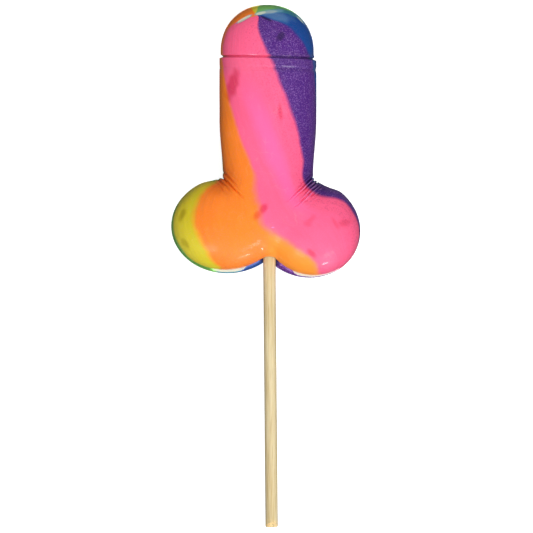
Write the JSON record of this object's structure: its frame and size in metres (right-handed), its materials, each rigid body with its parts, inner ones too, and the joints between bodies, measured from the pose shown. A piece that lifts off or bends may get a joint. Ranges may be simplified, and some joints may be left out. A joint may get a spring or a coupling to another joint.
{
  "type": "penis lollipop",
  "caption": "Adult novelty hard candy in a phallic shape with rainbow stripes, pressed on a round wooden stick and lying on its back.",
  "frame": {"origin": "middle of the bounding box in X and Y, at the lowest points of the back, on which it lies", "axes": "+Y from the free end of the stick to the head of the candy, +Z out of the front face, +X to the right as seen from the front"},
  "size_m": [0.0757, 0.209, 0.026],
  "materials": {
    "sugar": "hard pulled sugar, glossy and slightly cloudy, in six twisted rainbow stripes",
    "wood": "bare pale birch, turned smooth, unvarnished"
  },
  "bodies": {
    "root": {"candy": "sugar", "stick": "wood"}
  },
  "joints": []
}
